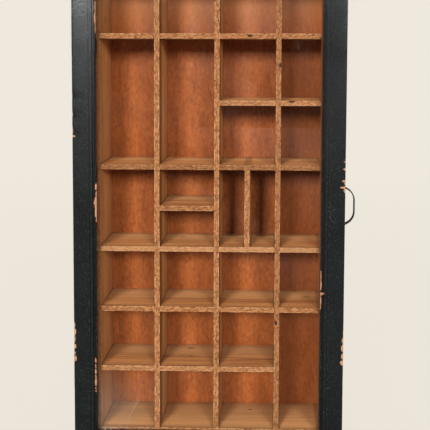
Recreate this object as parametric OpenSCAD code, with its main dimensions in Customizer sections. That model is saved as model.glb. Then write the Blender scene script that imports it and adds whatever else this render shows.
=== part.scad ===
// A tall glazed display case for thimbles. A painted softwood box holds a crate of
// thin pine slats halved into each other. A mitred, moulded and glazed door covers
// the whole front and turns on two butt hinges at the left.
// X runs to the right, Y runs back from the viewer and Z runs up. The origin is the
// middle of the face that the case stands on.

/* [Case] */
// Depth of the case without its door
case_d = 113; // [80:1:160]
// Thickness of the four case boards
board_t = 18.5; // [15:0.5:22]
// Depth of the rebate in each side board that takes the end of the top or bottom board
corner_lap = 9; // [6:0.5:11]
// Thickness of the back panel
back_t = 5; // [3:0.5:8]
// Width of the rebate that the back panel lies in
back_lap = 5.5; // [4.5:0.5:7]
// How far the back panel lies below the back edges of the case
back_sink = 0.2; // [0:0.1:1]

/* [Compartments] */
// Thickness of every slat in the crate
slat_t = 5; // [3:0.5:7]
// How far the fronts of the slats lie behind the front edge of the case
slat_set_back = 1.9; // [0.5:0.1:8]
// Clear width of the first column from the left
col_1 = 53.8; // [40:0.2:80]
// Clear width of the second column
col_2 = 53.8; // [40:0.2:80]
// Clear width of the third column
col_3 = 55; // [40:0.2:80]
// Clear width of the fourth column beside its edge strip
col_4 = 38.8; // [30:0.2:80]
// Depth of the edge strip that stands at the right of the fourth column
edge_strip_d = 5; // [3:0.5:20]
// Clear height of the bottom row
row_1 = 58; // [40:0.2:80]
// Clear height of the second row
row_2 = 55.2; // [40:0.2:80]
// Clear height of the third row
row_3 = 55.2; // [40:0.2:80]
// Clear height of the fourth row, which holds the two half-size pairs
row_4 = 76.2; // [65:0.2:100]
// Clear height of the fifth row, the tall one
row_5 = 122.8; // [105:0.2:150]
// Clear height of the top row
row_6 = 58; // [40:0.2:80]
// Clear height under the short shelf in the fourth row
short_shelf_up = 35.5; // [20:0.5:50]
// Clear height under the right-hand shelf in the fifth row
right_shelf_up = 58; // [30:0.5:90]

/* [Door] */
// Thickness of the door frame
door_t = 19; // [18:0.5:26]
// Width of the stiles and rails from the outer edge to the glass opening
stile_w = 23; // [23:0.5:30]
// Gap between the back of the door and the front of the case
door_gap = 0.6; // [0.4:0.1:1.2]
// How much lower than the case the door is at its top and its bottom
door_reveal = 0.8; // [0.3:0.1:3]
// Width of the flat part of the frame's face
field_w = 15.6; // [14:0.2:15.6]
// Radius of the outer corners of the frame
arris_r = 0.8; // [0.3:0.1:1.2]
// Radius of the bead along the frame
bead_r = 1.05; // [0.7:0.05:1.2]
// Width of the groove between the bead and the lip
groove_w = 2; // [1.2:0.1:2.4]
// Depth of the groove between the bead and the lip
groove_d = 3.8; // [2:0.1:5]
// Width of the lip round the glass opening
lip_w = 2; // [1.4:0.1:2.4]
// How far the lip lies below the frame's face
lip_drop = 2.2; // [1:0.1:3]

/* [Glass] */
// Thickness of the glass
glass_t = 2; // [1.6:0.1:3]
// How deep the front of the glass lies behind the front of the door
glass_in = 11; // [10:0.2:12.5]
// How far the glass rebate reaches behind the opening
glass_lap = 6; // [4:0.5:7]
// Room round the edge of the glass in its rebate
glass_play = 0.5; // [0.2:0.1:1]
// How far the glazing beads lie back from the opening and from the back of the door
glazing_in = 0.4; // [0.2:0.1:1]

/* [Hinges] */
// Length of each hinge
hinge_len = 38; // [30:1:50]
// Height of the middle of the lower hinge, and distance of the upper one from the top
hinge_from_end = 84; // [50:1:120]
// Width of a hinge leaf from the pin's axis
leaf_w = 12.4; // [10:0.2:14]
// Thickness of a hinge leaf
leaf_t = 1.2; // [0.8:0.1:1.5]
// How far the pin's axis lies outside the side of the case
hinge_out = 0.4; // [0.2:0.1:1]
// Outer radius of the hinge knuckles
knuckle_r = 2.4; // [2:0.1:3]
// Radius of the hinge pin
hinge_pin_r = 1.1; // [0.8:0.05:1.3]
// Running clearance round the hinge pin
pin_play = 0.05; // [0.02:0.01:0.08]

/* [Pull] */
// How far the middle of the pull lies above the middle of the case
pull_up = 1.5; // [-60:0.5:60]
// Height of the bow from leg to leg at the door's edge
pull_span = 37; // [32:0.5:60]
// How far the bow stands out from the door's edge
pull_out = 9.4; // [8.5:0.1:11]
// Width of the strip that the pull is bent from
pull_w = 10; // [6:0.5:14]
// Thickness of the strip
pull_t = 1.1; // [0.8:0.1:1.6]
// Outer radius of the two bends beside the grip
pull_bend_r = 13; // [10:0.5:14]
// Length of each foot let into the door's edge
pull_foot = 12; // [10:0.5:16]

/* [Catch and hangers] */
// Radius of the catch magnet
magnet_r = 4; // [3:0.5:5]
// Thickness of the catch magnet
magnet_t = 4; // [3:0.5:6]
// Radius of the steel plate on the door that the magnet holds
strike_r = 5; // [4:0.5:6]
// Thickness of that steel plate
strike_t = 1.2; // [0.8:0.1:2]
// Width of each keyhole hanger plate
hanger_w = 12; // [11:0.5:12.5]
// Height of each keyhole hanger plate
hanger_h = 42; // [40:1:60]
// Thickness of each keyhole hanger plate
hanger_t = 1.6; // [1:0.1:2.5]
// Radius of the hole in a hanger that the wall screw's head passes through
keyhole_r = 4; // [3.5:0.1:4.2]
// Half the width of the slot that the wall screw's neck rises into
keyslot_r = 2; // [1.5:0.1:2.5]
// Room in the wood round the wall screw's head
pocket_play = 0.4; // [0.2:0.1:0.8]
// Length of that slot from the middle of the hole to the middle of its end
keyslot_len = 9; // [7:0.5:12]
// Depth of the hanger holes below the top
hanger_down = 58; // [45:1:120]
// Distance of a hanger's screws from the ends of its plate
hanger_screw_in = 4; // [3.5:0.5:6]

/* [Pins and screws] */
// Radius of the pins through the case corners
case_pin_r = 1.1; // [0.8:0.1:1.6]
// Length of the pins through the case corners
case_pin_len = 32; // [24:1:45]
// Radius of the pins that hold the back panel
panel_pin_r = 0.8; // [0.5:0.1:1.2]
// Length of the pins that hold the back panel
panel_pin_len = 16; // [12:1:25]
// Radius of the pins that hold the glazing beads
bead_pin_r = 0.6; // [0.4:0.1:0.8]
// Length of the pins that hold the glazing beads
bead_pin_len = 11; // [9:0.5:12]
// Radius of the screws' shanks
screw_r = 1.1; // [0.8:0.1:1.4]
// Radius of the screws' countersunk heads
screw_head_r = 2.2; // [1.8:0.1:2.4]
// Length of the screws
screw_len = 9; // [7:0.5:10]
// Thickness of the feathers in the mitres of the door
feather_t = 3; // [2:0.5:3.5]
// Length of a feather's two short sides
feather_leg = 20; // [14:1:24]

/* [Clearances] */
// Gap between the crate and the case boards, and behind the crate
crate_play = 0.3; // [0.1:0.1:0.8]
// Clearance on each side of a halving joint, a let-in plate or a feather
joint_play = 0.1; // [0.05:0.05:0.2]
// Clearance round each pin and screw
fastener_play = 0.03; // [0.01:0.01:0.1]

/* [Hidden] */
$fn = 48;
// Small overrun that keeps cutting faces apart
over = 1;

// Planes from front to back
case_w = 2 * (board_t + crate_play + slat_t) + col_1 + col_2 + col_3 + col_4 + 3 * slat_t;
case_h = 2 * (board_t + crate_play + slat_t) + row_1 + row_2 + row_3 + row_4 + row_5 + row_6 + 5 * slat_t;
case_front = -case_d / 2;
case_back = case_d / 2;
door_back = case_front - door_gap;
door_front = door_back - door_t;
panel_front = case_back - back_sink - back_t;
slat_front = case_front + slat_set_back;
slat_back = panel_front - crate_play;
slat_d = slat_back - slat_front;
slat_mid = slat_front + slat_d / 2;

// Crate, with the undersides of the shelves and the left faces of the dividers
crate_in = board_t + crate_play;
floor_z = crate_in + slat_t;
ceiling_z = case_h - floor_z;
inner_left = -case_w / 2 + floor_z;
inner_right = -inner_left;
divider_1_x = inner_left + col_1;
divider_2_x = divider_1_x + slat_t + col_2;
divider_3_x = divider_2_x + slat_t + col_3;
short_divider_x = divider_2_x + slat_t + (col_3 - slat_t) / 2;
shelf_1_z = floor_z + row_1;
shelf_2_z = shelf_1_z + slat_t + row_2;
shelf_3_z = shelf_2_z + slat_t + row_3;
shelf_4_z = shelf_3_z + slat_t + short_shelf_up;
shelf_5_z = shelf_3_z + slat_t + row_4;
shelf_6_z = shelf_5_z + slat_t + right_shelf_up;
shelf_7_z = shelf_5_z + slat_t + row_5;
full_crossings = [shelf_1_z, shelf_2_z, shelf_3_z, shelf_5_z, shelf_7_z];
right_crossings = [shelf_2_z, shelf_3_z, shelf_5_z, shelf_6_z, shelf_7_z];
all_dividers = [divider_1_x, divider_2_x, divider_3_x];

// Door
door_h = case_h - 2 * door_reveal;
door_side = case_w / 2;
rebate_u = stile_w - glass_lap;
glass_w = case_w - 2 * rebate_u - 2 * glass_play;
glass_h = door_h - 2 * rebate_u - 2 * glass_play;
glazing_t = door_t - glass_in - glass_t - glazing_in;
glazing_w = glass_lap - glazing_in;
glazing_round = 0.7 * min(glazing_t, glazing_w);
lip_u = stile_w - lip_w;
bead_u = lip_u - groove_w - bead_r;
feather_v = (groove_d + glass_in - feather_t) / 2;
bead_pin_z = [-0.38, -0.13, 0.13, 0.38];
bead_pin_x = [-0.3, 0.3];

// Hinges
hinge_x = -case_w / 2 - hinge_out;
hinge_y = case_front - door_gap / 2;
leaf_off = 0.15;
knuckles = 5;
knuckle_len = hinge_len / knuckles;
knuckle_gap = 0.2;
swing_play = 0.35;
pin_head_r = 1.9;
pin_head_t = 0.8;
hinge_lower_z = hinge_from_end;
hinge_upper_z = case_h - hinge_from_end;
leaf_screw_z = [-0.34, 0, 0.34] * hinge_len;
leaf_screw_x = leaf_w * 0.6;

// Pull: angle of its legs from square to the door's edge
pull_leg_angle = 30;
pull_y = door_front + door_t / 2;
pull_z = case_h / 2 + pull_up;
pull_half = pull_span / 2;
pull_leg = (pull_out - pull_bend_r * (1 - sin(pull_leg_angle))) / cos(pull_leg_angle);
pull_bend_z = pull_half - pull_leg * sin(pull_leg_angle) - pull_bend_r * cos(pull_leg_angle);
pull_screw_z = pull_half + pull_foot * 0.6;

// Catch and hangers
catch_x = case_w / 2 - board_t / 2;
hanger_x = case_w / 2 - (board_t - back_lap) / 2;
hanger_z = case_h - hanger_down;
hanger_screw_up = hanger_h / 2 - hanger_screw_in;
// Middle of the plate above the round hole
hanger_mid = keyslot_len / 2;
pocket_r = keyhole_r + pocket_play;
pocket_d = 8;

// Fasteners, with their places as shares of the length that they are spread along
case_pin_y = [-0.36, 0, 0.36];
panel_pin_in = back_lap / 2;
panel_pin_z = [-0.45, -0.15, 0.15, 0.45];
panel_pin_x = [-0.3, 0.3];
head_depth = screw_head_r - screw_r;

// Case boards

// One side board, standing at the left, with its rebates for the boards and the panel
module side_board_blank() {
    translate([-case_w / 2, case_front, 0])
        difference() {
            cube([board_t, case_d, case_h]);
            for (z = [-over, case_h - board_t])
                translate([board_t - corner_lap, -over, z])
                    cube([corner_lap + over, case_d + 2 * over, board_t + over]);
            translate([board_t - back_lap, case_d - back_t - back_sink, -over])
                cube([back_lap + over, back_t + back_sink + over, case_h + 2 * over]);
        }
}

// The top or bottom board, lying at the bottom
module level_board_blank() {
    half = case_w / 2 - board_t + corner_lap;
    difference() {
        translate([-half, case_front, 0])
            cube([2 * half, case_d, board_t]);
        translate([-half - over, panel_front, board_t - back_lap])
            cube([2 * half + 2 * over, back_t + back_sink + over, back_lap + over]);
    }
}

module case_pin_holes() {
    at_case_pins() cylinder(r = case_pin_r + fastener_play, h = case_pin_len);
}

module at_case_pins() {
    for (side = [-1, 1], z = [board_t / 2, case_h - board_t / 2], y = case_pin_y)
        translate([side * case_w / 2, y * case_d, z])
            rotate([0, -side * 90, 0])
                children();
}

module at_panel_pins() {
    panel_w = case_w - 2 * (board_t - back_lap);
    panel_h = case_h - 2 * (board_t - back_lap);
    for (side = [-1, 1], z = panel_pin_z)
        translate([side * (panel_w / 2 - panel_pin_in), case_back - back_sink, case_h / 2 + z * panel_h])
            rotate([90, 0, 0])
                children();
    for (side = [-1, 1], x = panel_pin_x)
        translate([x * panel_w, case_back - back_sink, case_h / 2 + side * (panel_h / 2 - panel_pin_in)])
            rotate([90, 0, 0])
                children();
}

module side_board_left() {
    color("#1f2a2d")
        difference() {
            side_board_blank();
            case_pin_holes();
            at_panel_pins() cylinder(r = panel_pin_r + fastener_play, h = panel_pin_len);
            hinge_seats(1);
            hinge_screws(1, fastener_play);
            hanger_seat(-1);
        }
}

module side_board_right() {
    color("#1f2a2d")
        difference() {
            mirror([1, 0, 0]) side_board_blank();
            case_pin_holes();
            at_panel_pins() cylinder(r = panel_pin_r + fastener_play, h = panel_pin_len);
            translate([catch_x, case_front - over, pull_z])
                rotate([-90, 0, 0])
                    cylinder(r = magnet_r + fastener_play, h = magnet_t + over);
            hanger_seat(1);
        }
}

module bottom_board() {
    color("#1f2a2d")
        difference() {
            level_board_blank();
            case_pin_holes();
            at_panel_pins() cylinder(r = panel_pin_r + fastener_play, h = panel_pin_len);
        }
}

module top_board() {
    color("#1f2a2d")
        difference() {
            translate([0, 0, case_h]) mirror([0, 0, 1]) level_board_blank();
            case_pin_holes();
            at_panel_pins() cylinder(r = panel_pin_r + fastener_play, h = panel_pin_len);
        }
}

module case_pins() {
    color("#8d8a84")
        at_case_pins() cylinder(r = case_pin_r, h = case_pin_len);
}

module back_panel() {
    edge = board_t - back_lap + joint_play;
    color("#a4552c")
        difference() {
            translate([-case_w / 2 + edge, panel_front, edge])
                cube([case_w - 2 * edge, back_t, case_h - 2 * edge]);
            at_panel_pins() cylinder(r = panel_pin_r + fastener_play, h = panel_pin_len);
        }
}

module back_panel_pins() {
    color("#8d8a84")
        at_panel_pins() cylinder(r = panel_pin_r, h = panel_pin_len);
}

// Crate of slats

// A slat that lies flat, with notches from the front at each crossing divider
module shelf(left, right, z, crossings = []) {
    color("#c9955f")
        difference() {
            translate([left, slat_front, z])
                cube([right - left, slat_d, slat_t]);
            for (x = crossings)
                translate([x - joint_play, slat_front - over, z - over])
                    cube([slat_t + 2 * joint_play, slat_d / 2 + joint_play + over, slat_t + 2 * over]);
        }
}

// A slat that stands, with notches from the back at each crossing shelf
module divider(x, bottom, top, crossings = []) {
    color("#cf9c66")
        difference() {
            translate([x, slat_front, bottom])
                cube([slat_t, slat_d, top - bottom]);
            for (z = crossings)
                translate([x - over, slat_mid - joint_play, z - joint_play])
                    cube([slat_t + 2 * over, slat_d / 2 + joint_play + over, slat_t + 2 * joint_play]);
        }
}

// A slat that lies flat up to the right side board, with a notch there for the edge strip
module right_shelf(left, z, crossings = []) {
    color("#c9955f")
        difference() {
            shelf(left, inner_right + slat_t, z, crossings);
            translate([inner_right - joint_play, slat_front - over, z - over])
                cube([slat_t + joint_play + over, edge_strip_d + joint_play + over, slat_t + 2 * over]);
        }
}

module liner_left() { divider(inner_left - slat_t, crate_in, case_h - crate_in); }

// The right-hand liner is only a strip, in the front corners of the shelves
module liner_right() {
    color("#cf9c66")
        translate([inner_right, slat_front, crate_in])
            cube([slat_t, edge_strip_d, case_h - 2 * crate_in]);
}

module liner_bottom() { right_shelf(inner_left, floor_z - slat_t); }
module liner_top() { right_shelf(inner_left, ceiling_z); }

module divider_1() { divider(divider_1_x, floor_z, ceiling_z, full_crossings); }
module divider_2() { divider(divider_2_x, floor_z, ceiling_z, full_crossings); }
module divider_3() { divider(divider_3_x, floor_z, ceiling_z, right_crossings); }
module divider_short() { divider(short_divider_x, shelf_3_z + slat_t, shelf_5_z); }

module shelf_1() { shelf(inner_left, divider_3_x, shelf_1_z, [divider_1_x, divider_2_x]); }
module shelf_2() { right_shelf(inner_left, shelf_2_z, all_dividers); }
module shelf_3() { right_shelf(inner_left, shelf_3_z, all_dividers); }
module shelf_4_short() { shelf(divider_1_x + slat_t, divider_2_x, shelf_4_z); }
module shelf_5() { right_shelf(inner_left, shelf_5_z, all_dividers); }
module shelf_6_right() { right_shelf(divider_2_x + slat_t, shelf_6_z, [divider_3_x]); }
module shelf_7() { right_shelf(inner_left, shelf_7_z, all_dividers); }

// Hinges: side 1 is the case's half and side -1 the door's half

function leaf_knuckles(side) = side > 0 ? [0, 2, 4] : [1, 3];

module hinge_leaf(side, z) {
    leaf_y = side > 0 ? leaf_off : -leaf_off - leaf_t;
    color("#b08d4c")
        difference() {
            translate([hinge_x, hinge_y, z - hinge_len / 2])
                difference() {
                    union() {
                        translate([0, leaf_y, 0])
                            cube([leaf_w, leaf_t, hinge_len]);
                        for (k = leaf_knuckles(side))
                            translate([0, 0, k * knuckle_len + knuckle_gap / 2])
                                cylinder(r = knuckle_r, h = knuckle_len - knuckle_gap);
                    }
                    for (k = leaf_knuckles(-side))
                        translate([0, 0, k * knuckle_len - knuckle_gap / 2])
                            cylinder(r = knuckle_r + swing_play, h = knuckle_len + knuckle_gap);
                    translate([0, 0, -over])
                        cylinder(r = hinge_pin_r + pin_play, h = hinge_len + 2 * over);
                }
            hinge_screws(side, fastener_play);
        }
}

module hinge_pin(z) {
    color("#9c7b3d")
        translate([hinge_x, hinge_y, z - hinge_len / 2 - pin_head_t]) {
            cylinder(r = hinge_pin_r, h = hinge_len + 2 * pin_head_t);
            for (up = [0, hinge_len + pin_head_t])
                translate([0, 0, up])
                    cylinder(r = pin_head_r, h = pin_head_t);
        }
}

// Countersunk screw along +Z with the face of its head at zero
module screw(play = 0) {
    cylinder(r = screw_r + play, h = screw_len);
    cylinder(r1 = screw_head_r + play, r2 = screw_r + play, h = head_depth);
}

module hinge_screws(side, play = 0) {
    for (z = [hinge_lower_z, hinge_upper_z], up = leaf_screw_z)
        translate([hinge_x + leaf_screw_x, hinge_y + side * leaf_off, z + up])
            rotate([-side * 90, 0, 0])
                screw(play);
}

// Room in the wood for one half of both hinges
module hinge_seats(side) {
    seat = leaf_off + leaf_t;
    room = hinge_len + 2 * pin_head_t + 2 * swing_play;
    for (z = [hinge_lower_z, hinge_upper_z])
        translate([hinge_x, hinge_y, z]) {
            translate([-over, side > 0 ? -over : -seat, -hinge_len / 2 - joint_play])
                cube([leaf_w + joint_play + over, seat + over, hinge_len + 2 * joint_play]);
            translate([0, 0, -room / 2])
                cylinder(r = knuckle_r + swing_play, h = room);
        }
}

module hinge_case_leaf_lower() { hinge_leaf(1, hinge_lower_z); }
module hinge_case_leaf_upper() { hinge_leaf(1, hinge_upper_z); }
module hinge_door_leaf_lower() { hinge_leaf(-1, hinge_lower_z); }
module hinge_door_leaf_upper() { hinge_leaf(-1, hinge_upper_z); }
module hinge_pin_lower() { hinge_pin(hinge_lower_z); }
module hinge_pin_upper() { hinge_pin(hinge_upper_z); }
module hinge_case_screws() { color("#a98646") hinge_screws(1); }
module hinge_door_screws() { color("#a98646") hinge_screws(-1); }

// Catch

module catch_magnet() {
    color("#6f7274")
        translate([catch_x, case_front, pull_z])
            rotate([-90, 0, 0])
                cylinder(r = magnet_r, h = magnet_t);
}

module strike_screw_shape(play = 0) {
    translate([catch_x, door_back, pull_z])
        rotate([90, 0, 0])
            screw(play);
}

module strike_plate() {
    color("#8b8f92")
        difference() {
            translate([catch_x, door_back, pull_z])
                rotate([90, 0, 0])
                    cylinder(r = strike_r, h = strike_t);
            strike_screw_shape(fastener_play);
        }
}

module strike_screw() { color("#7d8184") strike_screw_shape(); }

// Keyhole hangers let into the back edges of the side boards

module at_hanger(side) {
    translate([side * hanger_x, case_back, hanger_z])
        rotate([90, 0, 0])
            children();
}

module hanger_screw_shapes(side, play = 0) {
    at_hanger(side)
        for (up = [-hanger_screw_up, hanger_screw_up])
            translate([0, hanger_mid + up, 0])
                screw(play);
}

module hanger_seat(side) {
    at_hanger(side) {
        translate([-hanger_w / 2 - joint_play, hanger_mid - hanger_h / 2 - joint_play, -over])
            cube([hanger_w + 2 * joint_play, hanger_h + 2 * joint_play, hanger_t + over]);
        translate([-pocket_r, 0, 0])
            cube([2 * pocket_r, keyslot_len, pocket_d]);
        for (up = [0, keyslot_len])
            translate([0, up, 0])
                cylinder(r = pocket_r, h = pocket_d);
    }
    hanger_screw_shapes(side, fastener_play);
}

module hanger(side) {
    color("#b08d4c")
        difference() {
            at_hanger(side)
                difference() {
                    translate([-hanger_w / 2, hanger_mid - hanger_h / 2, 0])
                        cube([hanger_w, hanger_h, hanger_t]);
                    translate([0, 0, -over])
                        cylinder(r = keyhole_r, h = hanger_t + 2 * over);
                    translate([0, keyslot_len, -over])
                        cylinder(r = keyslot_r, h = hanger_t + 2 * over);
                    translate([-keyslot_r, 0, -over])
                        cube([2 * keyslot_r, keyslot_len, hanger_t + 2 * over]);
                }
            hanger_screw_shapes(side, fastener_play);
        }
}

module hanger_left() { hanger(-1); }
module hanger_right() { hanger(1); }
module hanger_screws() {
    color("#a98646") {
        hanger_screw_shapes(-1);
        hanger_screw_shapes(1);
    }
}

// Door frame

// Section of the frame from its outer edge at zero, with its face at zero
module frame_section() {
    difference() {
        union() {
            translate([arris_r, 0]) square([field_w - arris_r, door_t]);
            translate([0, arris_r]) square([stile_w - lip_w, door_t - arris_r]);
            translate([arris_r, arris_r]) circle(r = arris_r);
            translate([lip_u, lip_drop + lip_w / 2]) square([lip_w, door_t]);
            translate([lip_u + lip_w / 2, lip_drop + lip_w / 2]) circle(r = lip_w / 2);
        }
        // Hollow beside the field, with the bead standing in it
        difference() {
            translate([field_w, -over]) square([lip_u - field_w, groove_d + over]);
            translate([bead_u, bead_r]) circle(r = bead_r);
            translate([bead_u - bead_r, bead_r]) square([2 * bead_r, door_t]);
            translate([field_w - over, bead_r]) square([bead_u - field_w + over, door_t]);
        }
        translate([rebate_u, glass_in]) square([glass_lap + over, door_t + 2 * over]);
        translate([-over, door_t]) square([stile_w + 2 * over, door_t]);
    }
}

// Section of a glazing bead, with its rounded corner towards the room behind
module glazing_section() {
    translate([rebate_u, glass_in + glass_t])
        difference() {
            square([glazing_w, glazing_t]);
            translate([glazing_w - glazing_round, glazing_t - glazing_round])
                difference() {
                    square(glazing_round + over);
                    circle(r = glazing_round);
                }
        }
}

// A bar of the given section that stands at the left, cut to mitres at both ends
module mitred(bar_len) {
    reach = stile_w + over;
    intersection() {
        linear_extrude(height = bar_len) children();
        translate([0, door_t + over, 0])
            rotate([90, 0, 0])
                linear_extrude(height = door_t + 2 * over)
                    polygon([[-over, -over], [reach, reach], [reach, bar_len - reach], [-over, bar_len + over]]);
    }
}

// The four bars stand round the frame's lower left corner
module left_bar() {
    translate([-case_w / 2, door_front, door_reveal])
        mitred(door_h) children();
}

module bottom_bar() {
    translate([case_w / 2, door_front, door_reveal])
        rotate([0, -90, 0])
            mitred(case_w) children();
}

module to_the_top() {
    translate([0, 0, case_h]) mirror([0, 0, 1]) children();
}

// Feathers in the kerfs across the outer corners
module feathers(play = 0) {
    for (side = [-1, 1], top = [0, 1])
        translate([side * case_w / 2, door_front + feather_v - play, top ? case_h - door_reveal : door_reveal])
            mirror([side > 0 ? 1 : 0, 0, 0])
                mirror([0, 0, top])
                    translate([0, feather_t + 2 * play, 0])
                        rotate([90, 0, 0])
                            linear_extrude(height = feather_t + 2 * play)
                                polygon([[0, 0], [feather_leg + play, 0], [0, feather_leg + play]]);
}

module at_bead_pins() {
    opening_w = case_w - 2 * stile_w;
    opening_h = door_h - 2 * stile_w;
    pin_y = door_front + glass_in + glass_t + glazing_t / 2;
    for (side = [-1, 1], z = bead_pin_z)
        translate([side * (opening_w / 2 + glazing_in), pin_y, case_h / 2 + z * opening_h])
            rotate([0, side * 90, 0])
                children();
    for (side = [-1, 1], x = bead_pin_x)
        translate([x * opening_w, pin_y, case_h / 2 + side * (opening_h / 2 + glazing_in)])
            rotate([side > 0 ? 0 : 180, 0, 0])
                children();
}

module bead_pin_holes() {
    at_bead_pins() cylinder(r = bead_pin_r + fastener_play, h = bead_pin_len);
}

module door_stile_left() {
    color("#1b2426")
        difference() {
            left_bar() frame_section();
            feathers(joint_play);
            bead_pin_holes();
            hinge_seats(-1);
            hinge_screws(-1, fastener_play);
        }
}

module door_stile_right() {
    color("#1b2426")
        difference() {
            mirror([1, 0, 0]) left_bar() frame_section();
            feathers(joint_play);
            bead_pin_holes();
            pull_seat();
            pull_screw_shapes(fastener_play);
            translate([catch_x, door_back + over, pull_z])
                rotate([90, 0, 0])
                    cylinder(r = strike_r + joint_play, h = strike_t + over);
            strike_screw_shape(fastener_play);
        }
}

module door_rail_bottom() {
    color("#1b2426")
        difference() {
            bottom_bar() frame_section();
            feathers(joint_play);
            bead_pin_holes();
        }
}

module door_rail_top() {
    color("#1b2426")
        difference() {
            to_the_top() bottom_bar() frame_section();
            feathers(joint_play);
            bead_pin_holes();
        }
}

module mitre_feathers() { color("#8a6a45") feathers(); }

module glass_pane() {
    color("#dfe8e6", 0.25)
        translate([-glass_w / 2, door_front + glass_in, case_h / 2 - glass_h / 2])
            cube([glass_w, glass_t, glass_h]);
}

module glazing_bead_left() {
    color("#2a3335")
        difference() {
            left_bar() glazing_section();
            bead_pin_holes();
        }
}

module glazing_bead_right() {
    color("#2a3335")
        difference() {
            mirror([1, 0, 0]) left_bar() glazing_section();
            bead_pin_holes();
        }
}

module glazing_bead_bottom() {
    color("#2a3335")
        difference() {
            bottom_bar() glazing_section();
            bead_pin_holes();
        }
}

module glazing_bead_top() {
    color("#2a3335")
        difference() {
            to_the_top() bottom_bar() glazing_section();
            bead_pin_holes();
        }
}

module glazing_bead_pins() {
    color("#8d8a84")
        at_bead_pins() cylinder(r = bead_pin_r, h = bead_pin_len);
}

// Pull bent from one flat strip, with its feet let into the edge of the right stile

// Upper half of the strip seen from the front, from the door's edge at zero
module pull_half_outline() {
    bend_x = pull_out - pull_bend_r;
    difference() {
        union() {
            // Grip
            translate([pull_out - pull_t, 0]) square([pull_t, pull_bend_z]);
            // Bend
            translate([bend_x, pull_bend_z])
                intersection() {
                    difference() {
                        circle(r = pull_bend_r);
                        circle(r = pull_bend_r - pull_t);
                    }
                    polygon([
                        [0, 0],
                        [2 * pull_bend_r, 0],
                        [2 * pull_bend_r * sin(pull_leg_angle), 2 * pull_bend_r * cos(pull_leg_angle)]
                    ]);
                }
            // Leg, which runs back to the foot
            translate([0, pull_half])
                rotate(-pull_leg_angle)
                    translate([-pull_t, -pull_t])
                        square([pull_leg + pull_t, pull_t]);
            // Foot
            translate([-pull_t, pull_half - pull_t]) square([pull_t, pull_foot + pull_t]);
        }
        // Nothing of the leg lies deeper than the foot
        translate([-pull_t - pull_foot, 0]) square([pull_foot, pull_span]);
    }
}

module at_pull() {
    translate([door_side, pull_y + pull_w / 2, pull_z])
        rotate([90, 0, 0])
            children();
}

module pull_screw_shapes(play = 0) {
    for (side = [-1, 1])
        translate([door_side, pull_y, pull_z + side * pull_screw_z])
            rotate([0, -90, 0])
                screw(play);
}

module pull_seat() {
    for (side = [0, 1])
        translate([door_side - pull_t, pull_y - pull_w / 2 - joint_play, pull_z])
            mirror([0, 0, side])
                translate([0, 0, pull_half - 2 * pull_t - joint_play])
                    cube([pull_t + over, pull_w + 2 * joint_play, pull_foot + 2 * pull_t + 2 * joint_play]);
}

module door_pull() {
    color("#16191a")
        difference() {
            at_pull()
                linear_extrude(height = pull_w) {
                    pull_half_outline();
                    mirror([0, 1]) pull_half_outline();
                }
            pull_screw_shapes(fastener_play);
        }
}

module pull_screws() { color("#1d2021") pull_screw_shapes(); }

side_board_left();
side_board_right();
top_board();
bottom_board();
case_pins();
back_panel();
back_panel_pins();
liner_left();
liner_right();
liner_top();
liner_bottom();
divider_1();
divider_2();
divider_3();
divider_short();
shelf_1();
shelf_2();
shelf_3();
shelf_4_short();
shelf_5();
shelf_6_right();
shelf_7();
hinge_case_leaf_lower();
hinge_case_leaf_upper();
hinge_pin_lower();
hinge_pin_upper();
hinge_case_screws();
catch_magnet();
hanger_left();
hanger_right();
hanger_screws();
door_stile_left();
door_stile_right();
door_rail_bottom();
door_rail_top();
mitre_feathers();
glass_pane();
glazing_bead_left();
glazing_bead_right();
glazing_bead_bottom();
glazing_bead_top();
glazing_bead_pins();
hinge_door_leaf_lower();
hinge_door_leaf_upper();
hinge_door_screws();
door_pull();
pull_screws();
strike_plate();
strike_screw();
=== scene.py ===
"""Dresses a tall display case for thimbles: pine crate, reddish back panel, black glazed door."""

import math

import bpy
from mathutils import Matrix, Vector, noise


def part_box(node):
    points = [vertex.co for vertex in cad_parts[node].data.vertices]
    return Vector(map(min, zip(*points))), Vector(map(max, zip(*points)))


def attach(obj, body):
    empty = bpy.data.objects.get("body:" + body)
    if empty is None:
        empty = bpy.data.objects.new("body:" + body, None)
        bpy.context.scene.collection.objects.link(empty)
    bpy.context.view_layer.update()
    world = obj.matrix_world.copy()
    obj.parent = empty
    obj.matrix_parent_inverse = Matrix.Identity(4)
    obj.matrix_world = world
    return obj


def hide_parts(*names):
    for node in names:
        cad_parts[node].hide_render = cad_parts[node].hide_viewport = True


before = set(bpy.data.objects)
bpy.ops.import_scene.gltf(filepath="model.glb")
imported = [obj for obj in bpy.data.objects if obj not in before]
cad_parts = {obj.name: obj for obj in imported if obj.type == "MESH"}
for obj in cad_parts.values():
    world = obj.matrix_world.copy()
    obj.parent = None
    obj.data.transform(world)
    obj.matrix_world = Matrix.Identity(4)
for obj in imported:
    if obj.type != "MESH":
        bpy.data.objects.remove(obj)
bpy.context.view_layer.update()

bl_info = {
    "name": "Thimble display case",
    "version": (1, 0, 0),
    "blender": (4, 5, 0),
    "location": "View3D > Sidebar > Display Case",
    "description": "Wood, paint, glass and metal finishes of a glazed display case, with its stage",
    "category": "Object",
}

MM = 0.001
SMOOTH_BELOW = 32
CORNER_ABOVE = 50


def tone(red, green, blue):
    """Linear colour of a paint chart colour, which is given in steps from 0 to 255."""
    steps = [value / 255 for value in (red, green, blue)]
    return tuple(s / 12.92 if s <= 0.04045 else ((s + 0.055) / 1.055) ** 2.4 for s in steps)


def in_mm(corner):
    """A corner of the frame, which is in metres, in millimetres."""
    return tuple(value / MM for value in corner)


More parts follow.
